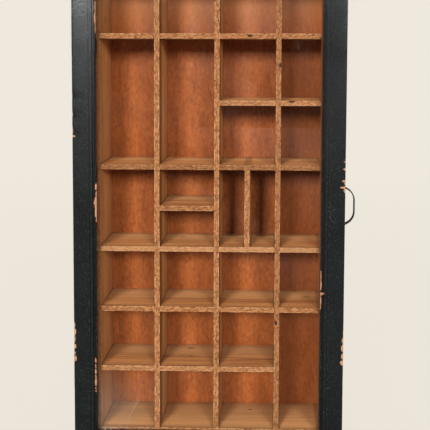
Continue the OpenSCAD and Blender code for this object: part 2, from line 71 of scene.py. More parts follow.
# Places of the frame, in millimetres
stile_low, stile_high = (in_mm(corner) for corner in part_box("door_stile_left"))
slat_low, slat_high = (in_mm(corner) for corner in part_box("divider_1"))
case_low, case_high = (in_mm(corner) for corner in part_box("side_board_left"))
HALF_WIDTH = in_mm(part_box("door_stile_right")[1])[0]
DOOR_FRONT = stile_low[1]
DOOR_FOOT = stile_low[2]
DOOR_HEAD = stile_high[2]
BAR_WIDTH = stile_high[0] - stile_low[0]
SLAT_FRONT = slat_low[1]
SLAT_THICK = slat_high[0] - slat_low[0]
INNER_HALF = -case_high[0]
FLOOR_HEIGHT = in_mm(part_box("bottom_board")[1])[2]
CASE_FRONT = case_low[1]
CASE_BACK = case_high[1]
CASE_HEIGHT = case_high[2]

FLAT_SLATS = [n for n in sorted(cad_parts) if n.startswith("shelf_")] + ["liner_bottom", "liner_top"]
STANDING_SLATS = [n for n in sorted(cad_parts) if n.startswith("divider_")] + ["liner_left", "liner_right"]
FRAME_BARS = ["door_stile_left", "door_stile_right", "door_rail_bottom", "door_rail_top"]
CASE_BOARDS = ["side_board_left", "side_board_right", "top_board", "bottom_board"]
GLAZING_BEADS = ["glazing_bead_left", "glazing_bead_right", "glazing_bead_bottom", "glazing_bead_top"]

# Chips in the paint along an edge of the frame: height of the middle, half height and reach from the edge
CHIPS_OUTER_LEFT = (
    (354.5, 1.4, 0.6), (338.0, 2.6, 1.1), (322.5, 4.2, 1.2), (317.2, 1.3, 2.8),
    (131.5, 3.5, 1.5), (125.0, 4.0, 2.2), (117.5, 4.0, 1.6), (110.5, 3.0, 2.2), (103.5, 2.8, 1.4), (98.2, 3.0, 2.6),
)
CHIPS_OUTER_RIGHT = (
    (298.0, 5.5, 0.7), (293.6, 0.8, 1.8), (286.6, 1.1, 2.4), (279.8, 1.5, 1.0), (275.2, 1.2, 3.2),
    (272.8, 1.0, 1.5), (269.0, 1.1, 5.0), (266.0, 2.4, 1.8), (126.0, 3.0, 0.9), (119.0, 3.5, 1.6),
    (111.5, 4.0, 2.2), (103.5, 3.5, 2.0), (97.0, 2.6, 2.9), (81.1, 1.0, 0.8), (76.1, 1.2, 0.9), (62.0, 1.0, 0.8),
)
CHIPS_INNER_LEFT = (
    (441.0, 6.0, 0.9), (430.0, 7.0, 1.4), (420.0, 4.0, 0.8),
    (267.7, 3.2, 1.7), (261.0, 3.0, 0.9), (252.0, 6.5, 3.4), (242.5, 5.5, 2.1), (236.0, 3.0, 0.9),
)
CHIPS_INNER_RIGHT = ((182.0, 6.0, 1.0), (173.0, 5.0, 1.3), (164.8, 1.5, 4.0), (158.0, 5.0, 1.3), (151.5, 2.5, 0.9))
CHIPS_LIP_LEFT = (
    (95.6, 2.4, 0.9), (90.0, 2.6, 0.7), (84.5, 2.6, 1.0), (79.5, 2.4, 0.8), (74.0, 4.6, 1.1),
    (67.6, 0.8, 0.8), (64.8, 0.9, 0.9),
)
CHIPS_RAILS = ((-71.0, 3.0, 1.6), (-12.0, 1.8, 1.0), (38.0, 5.0, 1.8), (86.0, 2.0, 1.2))

# Round scuff on the right stile: its middle across and up, and its radius
SCUFF = (124.5, 241.2, 6.9)

# How far the front of a slat is stained, or bleached where it is below nought; on the two liners the darkening is
# painted shade beside the door frame, partly stain
FRONT_STAIN_AND_SHADE = {
    "shelf_1": -0.12, "shelf_2": 0.0, "shelf_3": -0.3, "shelf_4_short": 0.1, "shelf_5": 0.3, "shelf_6_right": -0.1,
    "shelf_7": 0.05, "divider_3": 0.18, "liner_left": 0.62, "liner_right": 0.88,
}

# Section of the frame: lines of painted highlight with rubbed paint, and the quirk and the groove that are darkened
# as painted shade, each its distance from the outer edge and half its width
HIGHLIGHT_AND_RUBBED_LINES = ((0.4, 0.6), (15.3, 0.45), (17.95, 0.8), (21.7, 0.9))
QUIRK = (16.25, 0.7)
GROOVE = (20.0, 1.15)
LIP_ARRIS = 21.0

# Scratches in the glass: place across and up of the lower and of the upper end, bow and strength
SCRATCHES = (
    (-83.2, 28.8, -68.1, 58.5, 0.0, 0.13),
    (108.4, 55.0, 101.0, 97.2, 1.6, 0.05),
    (60.0, 300.0, 92.0, 286.0, 0.8, 0.05),
    (-104.0, 60.2, -92.0, 60.8, 0.3, 0.1),
    (-99.0, 58.6, -89.0, 59.0, 0.0, 0.12),
    (84.0, 384.0, 106.0, 374.0, 1.0, 0.05),
)

# Smear in the glass: its middle across and up, and half its size each way
SMEAR = (89.0, 401.0, 13.0, 14.0)

# Back panel: where its top gets lighter, and where the painted shade behind the fourth column starts and ends
FADED_FROM, FADED_TO = 408.0, 450.0
DARKER_FROM, DARKER_TO = 62.0, 74.0
DARKER_BELOW = 400.0

# Knots: the slat that one is in, its place along the slat, its place across it and its half length
FRONT_KNOTS = (
    ("shelf_7", 38.8, 0.4, 2.8), ("shelf_7", 99.7, 1.0, 1.3), ("divider_3", 385.9, 1.4, 2.6),
    ("divider_3", 131.7, -0.8, 3.0), ("shelf_6_right", 80.0, 2.3, 3.8),
)
TOP_KNOTS = (
    ("shelf_3", -31.0, 18.7, 4.0), ("shelf_3", 81.0, 2.7, 3.4), ("shelf_3", 76.0, -12.0, 2.6),
    ("shelf_2", 97.2, 9.1, 4.5), ("shelf_2", -85.3, 47.2, 4.0), ("shelf_1", -23.4, 32.4, 4.6),
    ("shelf_1", -21.0, -6.7, 2.6), ("shelf_5", 52.0, 30.0, 3.0), ("liner_bottom", 40.0, 22.0, 3.0),
)
WALL_KNOTS = (("liner_left", 430.1, -5.4, 4.6), ("liner_left", 305.0, 22.0, 3.0))


class Wire:
    """One output of a shader node, which takes part in Python expressions."""

    def __init__(self, finish, socket):
        self.finish = finish
        self.socket = socket

    def __add__(self, other):
        return self.finish.math("ADD", self, other)

    def __radd__(self, other):
        return self.finish.math("ADD", other, self)

    def __sub__(self, other):
        return self.finish.math("SUBTRACT", self, other)

    def __rsub__(self, other):
        return self.finish.math("SUBTRACT", other, self)

    def __mul__(self, other):
        return self.finish.math("MULTIPLY", self, other)

    def __rmul__(self, other):
        return self.finish.math("MULTIPLY", other, self)

    def __truediv__(self, other):
        return self.finish.math("DIVIDE", self, other)

    def __rtruediv__(self, other):
        return self.finish.math("DIVIDE", other, self)

    def __pow__(self, other):
        return self.finish.math("POWER", self, other)

    def __abs__(self):
        return self.finish.math("ABSOLUTE", self)


class Finish:
    """One procedural finish of a material or the world, built up node by node."""

    def __init__(self, owner):
        self.owner = owner
        owner.use_nodes = True
        self.tree = owner.node_tree
        self.tree.nodes.clear()

    def node(self, kind, settings=None, inputs=None, output=0):
        """Adds a node: its settings first, then the values or links of its sockets."""
        made = self.tree.nodes.new(kind)
        for name, value in (settings or {}).items():
            setattr(made, name, value)
        for name, value in (inputs or {}).items():
            if isinstance(value, Wire):
                self.tree.links.new(value.socket, made.inputs[name])
            elif isinstance(value, tuple) and made.inputs[name].type == "RGBA":
                made.inputs[name].default_value = (*value, 1)
            else:
                made.inputs[name].default_value = value
        return Wire(self, made.outputs[output]) if made.outputs else None

    def math(self, operation, *values):
        return self.node("ShaderNodeMath", {"operation": operation}, dict(enumerate(values)))

    def least(self, first, second):
        return self.math("MINIMUM", first, second)

    def most(self, first, second):
        return self.math("MAXIMUM", first, second)

    def blend(self, share, first, second):
        """Colour between two colours."""
        settings = {"data_type": "RGBA", "blend_type": "MIX", "clamp_factor": True}
        return self.node("ShaderNodeMix", settings, {0: share, 6: first, 7: second}, 2)

    def step(self, value, start, end, low=0.0, high=1.0):
        """Smooth step from low at start to high at end."""
        inputs = {"Value": value, "From Min": start, "From Max": end, "To Min": low, "To Max": high}
        return self.node("ShaderNodeMapRange", {"interpolation_type": "SMOOTHSTEP"}, inputs)

    def place(self):
        """Place on the piece in millimetres of the frame, as a vector."""
        metres = self.node("ShaderNodeTexCoord", output=3)
        return self.node("ShaderNodeVectorMath", {"operation": "SCALE"}, {0: metres, "Scale": 1 / MM})

    def parts(self, vector):
        return [self.node("ShaderNodeSeparateXYZ", inputs={0: vector}, output=i) for i in range(3)]

    def facing(self):
        """Direction that the surface faces in the piece's own frame, as three parts."""
        return self.parts(self.node("ShaderNodeTexCoord", output=1))

    def spread(self, vector, scale, shift=(0.0, 0.0, 0.0)):
        """The vector moved and then scaled along each axis."""
        moved = self.node("ShaderNodeVectorMath", {"operation": "ADD"}, {0: vector, 1: shift})
        return self.node("ShaderNodeVectorMath", {"operation": "MULTIPLY"}, {0: moved, 1: scale})

    def grain(self, vector, size, detail=2.0, rough=0.5, bend=0.0):
        """Noise from 0 to 1 with features of the given size in millimetres."""
        inputs = {"Vector": vector, "Scale": 1 / size, "Detail": detail, "Roughness": rough, "Distortion": bend}
        return self.node("ShaderNodeTexNoise", inputs=inputs)

    def relief(self, height, depth):
        """Bump whose height runs from 0 to 1 over the depth in millimetres."""
        return self.node("ShaderNodeBump", inputs={"Strength": 1.0, "Distance": depth * MM, "Height": height})

    def show(self, shader, kind="ShaderNodeOutputMaterial"):
        self.node(kind, inputs={"Surface": shader})
        return self.owner

    def surface(self, **sockets):
        """Finishes with one principled surface, whose sockets are named with underscores."""
        inputs = {name.replace("_", " ").title().replace("Ior", "IOR"): v for name, v in sockets.items()}
        return self.show(self.node("ShaderNodeBsdfPrincipled", inputs=inputs))


def chip_shape(finish, along, reach, ragged, chips):
    """Mask of the chips: along runs along the edge and reach away from it."""
    mask = 0.0
    for middle, half, deep in chips:
        far = ((along - middle) / half) ** 2.0 + (reach / deep) ** 2.0
        mask = finish.most(mask, finish.step(far + ragged, 1.05, 0.85))
    return mask


def knot_shape(finish, along, across, knots):
    """Mask of knots that are stretched along the grain."""
    mask = 0.0
    for at, off, half in knots:
        far = ((along - at) / half) ** 2.0 + ((across - off) / (half * 0.55)) ** 2.0
        mask = finish.most(mask, finish.step(far, 1.3, 0.25))
    return mask


def black_paint(name, paint, framed):
    """Old satin black paint with brush marks and specks; on the frame also painted highlights with rubbed paint on
    the arrises, painted shade in the quirk and the groove, and chips to the wood.
    """
    finish = Finish(bpy.data.materials.new(name))
    place = finish.place()
    x, y, z = finish.parts(place)
    standing = finish.spread(place, (1.0, 1.0, 0.04))
    lying = finish.spread(place, (0.04, 1.0, 1.0))
    inside = finish.least(z - DOOR_FOOT, DOOR_HEAD - z)
    on_rail = finish.step((HALF_WIDTH - abs(x)) - inside, -0.05, 0.05)
    brushed = finish.blend(on_rail, finish.grain(standing, 0.7, 3.0), finish.grain(lying, 0.7, 3.0))
    specks = finish.grain(place, 1.3, 4.0, 0.7)
    dots = finish.grain(place, 0.9, 2.0, 0.6)
    cloud = finish.grain(place, 34.0, 3.0, 0.6)
    colour = finish.blend(finish.step(cloud, 0.35, 0.7), tuple(paint.black), tuple(paint.black_worn))
    colour = finish.blend(finish.step(dots, 0.6, 0.78), colour, tuple(paint.speck))
    roughness = paint.gloss + 0.06 * (cloud - 0.5)
    height = specks * 1.6 + brushed * 0.4
    if not framed:
        raw = finish.step(abs(x), INNER_HALF + 0.3, INNER_HALF + 0.1)
        raw = raw * finish.step(y, CASE_FRONT + 0.4, CASE_FRONT + 1.0)
        raw = raw * finish.step(finish.least(z, CASE_HEIGHT - z), FLOOR_HEIGHT - 0.3, FLOOR_HEIGHT - 0.1)
        raw = raw * finish.step(y, CASE_BACK - 0.2, CASE_BACK - 0.6)
        fibre = finish.grain(standing, 1.4, 4.0, 0.7)
        colour = finish.blend(raw, colour, finish.blend(fibre, tuple(paint.bare_wood), tuple(paint.bare_wood_dark)))
        roughness = roughness + raw * 0.4
    if framed:
        from_edge = finish.least(HALF_WIDTH - abs(x), inside)
        depth = y - DOOR_FRONT
        # Painted highlights: lighter lines on the arrises, the bead and the lip, partly rubbed paint; the round
        # scuff is real wear
        rubbed = 0.0
        for line, half in HIGHLIGHT_AND_RUBBED_LINES:
            near = finish.step(abs(from_edge - line), half, half * 0.35)
            rubbed = finish.most(rubbed, near)
        rubbed = rubbed * finish.step(depth, 3.6, 2.6) * finish.step(finish.grain(place, 1.3, 4.0, 0.7), 0.55, 0.68)
        bow = ((x - SCUFF[0]) ** 2.0 + (z - SCUFF[1]) ** 2.0) ** 0.5
        scuff = finish.step(abs(bow - SCUFF[2]), 0.4, 0.1) * finish.step(x, SCUFF[0], SCUFF[0] - 1.5)
        rubbed = finish.most(rubbed, scuff * 0.55 * finish.step(specks, 0.42, 0.58))
        colour = finish.blend(rubbed * 0.45, colour, tuple(paint.rubbed))
        # Painted shade: the quirk and the groove of the moulding are darkened in the colour
        groove = finish.step(abs(from_edge - GROOVE[0]), GROOVE[1], GROOVE[1] - 0.3)
        quirk = finish.step(abs(from_edge - QUIRK[0]), QUIRK[1], QUIRK[1] - 0.25)
        sunk = finish.most(groove * finish.step(depth, 0.5, 1.6), quirk * finish.step(depth, 0.3, 0.8))
        colour = finish.blend(sunk * 0.9, colour, tuple(paint.dirt_and_shade))
        ragged = (finish.grain(place, 1.1, 4.0, 0.75) - 0.5) * 3.4
        outer = from_edge + finish.most(depth, 0.0)
        inner = (BAR_WIDTH - from_edge) + finish.most(depth - 3.2, 0.0)
        left = finish.step(x, 0.0, -1.0)
        bare = finish.most(
            left * finish.most(
                chip_shape(finish, z, outer, ragged, CHIPS_OUTER_LEFT),
                chip_shape(finish, z, inner, ragged, CHIPS_INNER_LEFT),
            ),
            (1 - left) * finish.most(
                chip_shape(finish, z, outer, ragged, CHIPS_OUTER_RIGHT),
                chip_shape(finish, z, inner, ragged, CHIPS_INNER_RIGHT),
            ),
        )
        bare = finish.most(bare, left * chip_shape(finish, z, abs(from_edge - LIP_ARRIS), ragged, CHIPS_LIP_LEFT))
        bare = finish.most(bare, on_rail * chip_shape(finish, x, outer, ragged, CHIPS_RAILS))
        fibre = finish.grain(standing, 0.5, 3.0, 0.7)
        wood = finish.blend(finish.step(fibre, 0.35, 0.7), tuple(paint.bare_wood), tuple(paint.bare_wood_dark))
        colour = finish.blend(bare, colour, wood)
        roughness = roughness + bare * 0.4
        height = height - bare * 2.2
    return finish.surface(
        base_color=colour,
        roughness=roughness,
        specular_ior_level=paint.shine,
        normal=finish.relief(height, paint.brush_depth),
    )


def crossings(node, along):
    """Middles, along this slat, of the slats that meet it."""
    axis, cross = (0, 2) if along == "x" else (2, 0)
    low, high = (in_mm(corner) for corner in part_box(node))
    found = []
    for other in STANDING_SLATS if along == "x" else FLAT_SLATS:
        other_low, other_high = (in_mm(corner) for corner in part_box(other))
        if other_low[cross] < high[cross] + 1 and other_high[cross] > low[cross] - 1:
            found.append((other_low[axis] + other_high[axis]) / 2)
    return found


def pine(name, wood, node, along):
    """Old pine with its grain along X or Z: streaks, fibres, dusty tops lightened towards the back as painted
    light, painted shade behind the front edges and a pale, splintery front.
    """
    finish = Finish(bpy.data.materials.new(name))
    low, high = (in_mm(corner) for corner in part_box(node))
    order = (FLAT_SLATS + STANDING_SLATS).index(node)
    shift = (37.0 * order, 11.0 * order, 23.0 * order)
    place = finish.place()
    x, y, z = finish.parts(place)
    lengthwise = (0.05, 1.0, 1.0) if along == "x" else (1.0, 1.0, 0.05)
    run = finish.spread(place, lengthwise, shift)
    run_at, cross_at = (x, z) if along == "x" else (z, x)
    middle = (low[2] + high[2]) / 2 if along == "x" else (low[0] + high[0]) / 2
    half = SLAT_THICK / 2
    stretched = finish.spread(place, (0.4, 1.0, 1.0) if along == "x" else (1.0, 1.0, 0.4), shift)
    rings = finish.grain(run, 3.0, 3.0, 0.55, 0.4)
    fibres = finish.grain(run, 0.8, 4.0, 0.7)
    still = finish.spread(place, (1.0, 1.0, 1.0), shift)
    patches = finish.grain(still, 26.0, 3.0, 0.6)
    specks = finish.grain(still, 1.0, 3.0, 0.7)
    behind_front = y - SLAT_FRONT
    facing_up = finish.step(finish.facing()[2], 0.6, 0.9)
    colour = finish.blend(finish.step(rings, 0.36, 0.64), tuple(wood.wall), tuple(wood.wall_dark))
    colour = finish.blend(finish.step(patches, 0.45, 0.75) * 0.3, colour, tuple(wood.dust))
    if along == "x":
        streaks = finish.grain(finish.spread(place, (0.03, 1.0, 1.0), shift), 3.5, 4.0, 0.65, 0.3)
        top = finish.blend(finish.step(streaks, 0.38, 0.6), tuple(wood.top_dark), tuple(wood.top))
        # Tops lighter towards the back: painted light that evens out the shade deep in each bay, together with dust
        dusty = finish.step(behind_front, 30.0, 102.0) * 0.85
        if node == "liner_bottom":
            dusty = finish.most(dusty, 0.5)
        top = finish.blend(dusty, top, tuple(wood.dust))
        colour = finish.blend(facing_up, colour, top)
        # Painted shade behind the front edge, with grime
        colour = finish.blend(finish.step(behind_front, 15.0, 2.0) * 0.6, colour, tuple(wood.shade_and_grime))
    else:
        # Painted shade on the sides behind the front edge, strongest on the dividers
        painted_front_shade = 0.9 if node.startswith("divider_") else 0.4
        colour = finish.blend(finish.step(behind_front, 44.0, 16.0) * painted_front_shade, colour, tuple(wood.shade_and_grime))
    colour = finish.blend(finish.step(fibres, 0.52, 0.74) * 0.5, colour, tuple(wood.pore))
    colour = finish.blend(finish.step(specks, 0.55, 0.75) * 0.35, colour, tuple(wood.pore))
    # Darker in a thin line beside each slat that crosses this one
    corners = 0.0
    for centre in crossings(node, along):
        corners = finish.most(corners, finish.step(abs(run_at - centre), half + 2.0, half + 0.2))
    colour = finish.blend(corners * 0.45, colour, tuple(wood.shade_and_grime))
    front = finish.step(y, SLAT_FRONT + 1.0, SLAT_FRONT + 0.4)
    sawn = finish.grain(stretched, 1.0, 3.0, 0.7)
    front_colour = finish.blend(finish.step(sawn, 0.36, 0.6), tuple(wood.front_dark), tuple(wood.front))
    torn = finish.step(finish.grain(still, 1.1, 2.0, 0.6), 0.57, 0.67)
    front_colour = finish.blend(torn * 0.6, front_colour, tuple(wood.pore))
    # On the two liners this darkening of the front is painted shade beside the door frame, partly stain
    stain = FRONT_STAIN_AND_SHADE.get(node, 0.0)
    edge = finish.step(abs(cross_at - middle), half - 1.1, half - 0.4)
    burr = finish.step(finish.grain(stretched, 2.0, 3.0, 0.7), 0.46, 0.62)
    front_colour = finish.blend(edge * burr * (0.95 - 0.95 * max(stain, 0.0)), front_colour, tuple(wood.splinter))
    front_colour = finish.blend(abs(stain), front_colour, tuple(wood.stain if stain > 0 else wood.splinter))
    colour = finish.blend(front, colour, front_colour)
    knots = [(at, middle + off, size) for owner, at, off, size in FRONT_KNOTS if owner == node]
    dark = 0.0
    if knots:
        dark = front * knot_shape(finish, run_at, cross_at, knots)
    knots = [(at, off, size) for owner, at, off, size in TOP_KNOTS if owner == node]
    if knots:
        dark = finish.most(dark, facing_up * knot_shape(finish, x, y, knots))
    knots = [(at, off, size) for owner, at, off, size in WALL_KNOTS if owner == node]
    if knots:
        dark = finish.most(dark, (1 - front) * knot_shape(finish, z, y, knots))
    if isinstance(dark, Wire):
        colour = finish.blend(dark * 0.95, colour, tuple(wood.knot))
    height = fibres * 0.5 + front * sawn
    return finish.surface(
        base_color=colour,
        roughness=0.62 + 0.12 * front,
        diffuse_roughness=wood.dull,
        specular_ior_level=0.3,
        normal=finish.relief(height, wood.fibre_depth),
    )


def back_ply(name, panel):
    """Reddish plywood with an upright grain, streaked and blotched, with painted shade behind the fourth column,
    dull and grey at the back.
    """
    finish = Finish(bpy.data.materials.new(name))
    place = finish.place()
    x, y, z = finish.parts(place)
    slow = finish.grain(finish.spread(place, (1.0, 1.0, 0.35)), 13.0, 4.0, 0.6, 0.3)
    mottle = finish.grain(finish.spread(place, (1.0, 1.0, 0.6)), 3.2, 3.0, 0.65, 0.4)
    streaks = finish.grain(finish.spread(place, (1.0, 1.0, 0.1)), 1.8, 3.0, 0.6, 0.2)
    fine = finish.grain(finish.spread(place, (1.0, 1.0, 0.6)), 0.8, 2.0, 0.7)
    colour = finish.blend(finish.step(slow, 0.34, 0.66), tuple(panel.brown), tuple(panel.red))
    colour = finish.blend(finish.step(mottle, 0.5, 0.72) * 0.4, colour, tuple(panel.light))
    colour = finish.blend(finish.step(mottle, 0.5, 0.3) * 0.35, colour, tuple(panel.pore))
    colour = finish.blend(finish.step(streaks, 0.5, 0.3) * 0.28, colour, tuple(panel.pore))
    colour = finish.blend(finish.step(fine, 0.58, 0.74) * 0.4, colour, tuple(panel.light))
    colour = finish.blend(finish.step(fine, 0.44, 0.3) * 0.35, colour, tuple(panel.pore))
    colour = finish.blend(finish.step(z, FADED_FROM, FADED_TO) * 0.5, colour, tuple(panel.light))
    # Painted shade on the panel behind the fourth column, lower down
    fourth_column_shade = finish.step(x, DARKER_FROM, DARKER_TO) * finish.step(z, DARKER_BELOW, DARKER_BELOW - 20.0)
    colour = finish.blend(fourth_column_shade * 0.35, colour, tuple(panel.pore))
    behind = finish.step(finish.facing()[1], 0.5, 0.9)
    stain = finish.grain(place, 30.0, 4.0, 0.65)
    colour = finish.blend(behind * (0.5 + 0.4 * stain), colour, tuple(panel.rear))
    return finish.surface(
        base_color=colour,
        roughness=panel.gloss + 0.15 * (slow - 0.5) + behind * 0.2,
        diffuse_roughness=0.3,
        specular_ior_level=0.12,
        normal=finish.relief(streaks * 0.5 + mottle, 0.05),
    )


def old_glass(name, glass):
    """Window glass with a thin film of dust, smears and a few long scratches."""
    finish = Finish(bpy.data.materials.new(name))
    place = finish.place()
    x, y, z = finish.parts(place)
    cloud = finish.step(finish.grain(place, 46.0, 4.0, 0.65, 0.5), 0.48, 0.8)
    wiped = finish.grain(finish.spread(place, (1.0, 1.0, 0.35)), 3.0, 4.0, 0.7, 1.2)
    low_corner = finish.step(x - z * 0.6, -60.0, -150.0) * finish.step(z, 96.0, 40.0)
    top_row = finish.step(z, 425.0, 470.0)
    strokes = finish.grain(finish.spread(place, (1.0, 1.0, 0.12)), 0.9, 3.0, 0.7, 1.5)
    off_smear = ((x - SMEAR[0]) / SMEAR[2]) ** 2.0 + ((z - SMEAR[1]) / SMEAR[3]) ** 2.0
    upper_smear = finish.step(off_smear, 1.0, 0.1)
    film = cloud * 0.004 + low_corner * (0.04 + 0.06 * wiped) + top_row * 0.02
    film = film + upper_smear * 0.07 * finish.step(strokes, 0.54, 0.7)
    scratch = 0.0
    for x_low, z_low, x_high, z_high, bow, strength in SCRATCHES:
        along = finish.least(finish.most((z - z_low) / (z_high - z_low), 0.0), 1.0)
        line = x_low + (x_high - x_low) * along + bow * 4 * along * (1 - along)
        ends = finish.step(abs(along - 0.5), 0.5, 0.4) * strength
        scratch = finish.most(scratch, finish.step(abs(x - line), 0.5, 0.12) * ends)
    outside = finish.step(finish.facing()[1], -0.4, -0.8)
    dirt_and_shade = finish.least(film + scratch, 0.5) * outside
    gloss = finish.node("ShaderNodeFresnel", inputs={"IOR": 1.45}) * outside * glass.reflection
    share = finish.least(gloss + dirt_and_shade, 1.0)
    clear = finish.node("ShaderNodeBsdfTransparent", inputs={"Color": tuple(glass.tint)})
    film_colour = finish.blend(dirt_and_shade / finish.most(share, 0.001), (0.0, 0.0, 0.0), tuple(glass.dust))
    solid = finish.node(
        "ShaderNodeBsdfPrincipled",
        inputs={"Base Color": film_colour, "Roughness": 0.06, "Specular IOR Level": 1.0},
    )
    return finish.show(finish.node("ShaderNodeMixShader", inputs={0: share, 1: clear, 2: solid}))


def old_metal(name, clean, tarnish, gloss, metal=1.0):
    """Aged metal: a clean tone with tarnish in blotches and fine scratches."""
    finish = Finish(bpy.data.materials.new(name))
    place = finish.place()
    blotch = finish.grain(place, 3.5, 4.0, 0.7)
    fine = finish.grain(finish.spread(place, (1.0, 1.0, 0.15)), 0.3, 3.0, 0.7)
    worn = finish.step(blotch, 0.4, 0.66)
    return finish.surface(
        base_color=finish.blend(worn, tuple(clean), tuple(tarnish)),
        roughness=gloss + 0.25 * worn * fine + 0.1 * fine,
        metallic=metal - 0.25 * worn,
        normal=finish.relief(fine * 0.6 + blotch, 0.03),
    )


def colour_setting(title, text, value):
    return bpy.props.FloatVectorProperty(
        name=title, description=text, default=value, subtype="COLOR", size=3, min=0.0, max=1.0
    )


def share_setting(title, text, value, most=1.0):
    return bpy.props.FloatProperty(name=title, description=text, default=value, min=0.0, max=most, subtype="FACTOR")


def size_setting(title, text, value, most=1.0):
    return bpy.props.FloatProperty(
        name=title, description=text, default=value * MM, min=0.0, max=most, unit="LENGTH"
    )


class PaintSettings(bpy.types.PropertyGroup):
    """Black paint on the case and the door."""

    black: colour_setting("Black", "Paint where it is whole", tone(9, 15, 17))
    black_worn: colour_setting("Worn black", "Paint where it is thin and dull", tone(15, 22, 24))
    speck: colour_setting("Speck", "Fine light specks in the paint", tone(74, 80, 82))
    # Colour of the painted highlights on the arrises, the bead and the lip, partly rubbed paint
    rubbed: colour_setting("Rubbed", "Paint on rubbed arrises and beads", tone(118, 122, 120))
    # Colour of the painted shade in the quirk and the groove
    dirt_and_shade: colour_setting("Dirt", "Dirt in the quirk and the groove of the moulding", tone(9, 9, 9))
    bare_wood: colour_setting("Bare wood", "Wood in the chips", tone(214, 162, 122))
    bare_wood_dark: colour_setting("Dark bare wood", "Darker fibres in the chips", tone(176, 118, 80))
    gloss: share_setting("Roughness", "Roughness of the paint", 0.155)
    shine: share_setting("Shine", "Specular level of the paint", 0.26)
    brush_depth: bpy.props.FloatProperty(
        name="Brush depth", description="Depth of brush marks in millimetres", default=0.03, min=0.0, max=0.5
    )
    arris: size_setting("Arris", "Width of the rubbed corners of painted boards", 0.6)


class WoodSettings(bpy.types.PropertyGroup):
    """Pine of the crate."""

    wall: colour_setting("Wall", "Faces of the slats", tone(212, 140, 84))
    wall_dark: colour_setting("Dark wall", "Darker growth rings on the faces", tone(186, 114, 62))
    top: colour_setting("Top", "Faces that look up", tone(204, 136, 82))
    top_dark: colour_setting("Dark top", "Darker streaks on the faces that look up", tone(150, 90, 50))
    pore: colour_setting("Pore", "Fine dark fibres", tone(112, 62, 32))
    # Colour of the painted shade behind the front edges, with grime, and of the darker lines beside crossing slats
    shade_and_grime: colour_setting("Grime", "Dirt behind the front edges and in the corners", tone(104, 60, 32))
    # Also the painted light that makes the tops lighter towards the back
    dust: colour_setting("Dust", "Dust on the faces that look up", tone(232, 170, 114))
    front: colour_setting("Front", "Sawn front edges", tone(214, 151, 95))
    front_dark: colour_setting("Dark front", "Darker grain on the front edges", tone(144, 82, 40))
    splinter: colour_setting("Splinter", "Pale burrs along the front edges", tone(230, 184, 134))
    # Also the painted shade on the fronts of the two liners
    stain: colour_setting("Stain", "Dark stain on some of the front edges", tone(116, 62, 31))
    knot: colour_setting("Knot", "Knots", tone(62, 32, 17))
    dull: share_setting("Dullness", "Diffuse roughness of the dusty wood", 1.0)
    fibre_depth: bpy.props.FloatProperty(
        name="Fibre depth", description="Depth of the grain in millimetres", default=0.12, min=0.0, max=0.5
    )
    arris: size_setting("Arris", "Width of the broken corners of a slat", 0.3)
    wear: size_setting("Wear", "How far the front corners are worn back", 0.35)
    ring: size_setting("Ring", "Distance of the cuts that the wear follows", 4.0)


class PanelSettings(bpy.types.PropertyGroup):
    """Plywood of the back panel."""

    red: colour_setting("Red", "Redder veneer", tone(206, 116, 58))
    brown: colour_setting("Brown", "Browner veneer", tone(184, 102, 52))
    light: colour_setting("Light", "Light streaks", tone(222, 146, 86))
    # Also the colour of the painted shade behind the fourth column
    pore: colour_setting("Pore", "Dark pores", tone(118, 58, 28))
    rear: colour_setting("Rear", "Dust and stain on the rear face", tone(120, 92, 68))
    gloss: share_setting("Roughness", "Roughness of the veneer", 0.42)


class GlassSettings(bpy.types.PropertyGroup):
    """Pane in the door."""

    tint: colour_setting("Tint", "Light that one face of the pane lets through", (0.985, 0.99, 0.985))
    dust: colour_setting("Dust", "Film on the pane", tone(206, 196, 178))
    reflection: share_setting("Reflection", "Share of the mirror image that is kept", 0.5)


class MetalSettings(bpy.types.PropertyGroup):
    """Brass, steel and blackened iron."""

    brass: colour_setting("Brass", "Clean brass", tone(206, 168, 96))
    brass_dull: colour_setting("Dull brass", "Tarnished brass", tone(120, 88, 46))
    steel: colour_setting("Steel", "Clean steel", tone(176, 176, 174))
    steel_dull: colour_setting("Dull steel", "Rusted steel", tone(104, 86, 72))
    iron: colour_setting("Iron", "Blackened iron", tone(13, 14, 15))
    iron_worn: colour_setting("Worn iron", "Iron where the black is rubbed", tone(34, 33, 32))


class StageSettings(bpy.types.PropertyGroup):
    """Camera, lamps and surroundings."""

    lens: bpy.props.FloatProperty(
        name="Lens", description="Focal length of the camera", default=115.5, min=20.0, max=300.0, unit="CAMERA"
    )
    camera_place: bpy.props.FloatVectorProperty(
        name="Camera", description="Place of the camera", default=(0.0641, -1.4022, 0.3946), size=3, subtype="XYZ"
    )
    camera_turn: bpy.props.FloatVectorProperty(
        name="Camera turn", description="Pitch, roll and yaw of the camera in degrees",
        default=(-6.581, 0.179, -2.493), size=3,
    )
    surroundings: colour_setting("Surroundings", "Colour of the floor and the backdrop", tone(239, 232, 221))
    ambient: share_setting("Ambient", "Light from all round", 0.14)
    mirrored: share_setting("Mirrored", "Brightness of the surroundings in a mirror image", 0.15)
    key: bpy.props.FloatProperty(name="Key lamps", description="Power of both key lamps", default=1060.0, min=0.0)
    overhead: bpy.props.FloatProperty(name="Overhead", description="Power of the lamp above", default=10.0, min=0.0)
    rear: bpy.props.FloatProperty(name="Rear lamps", description="Power of each rear lamp", default=30.0, min=0.0)


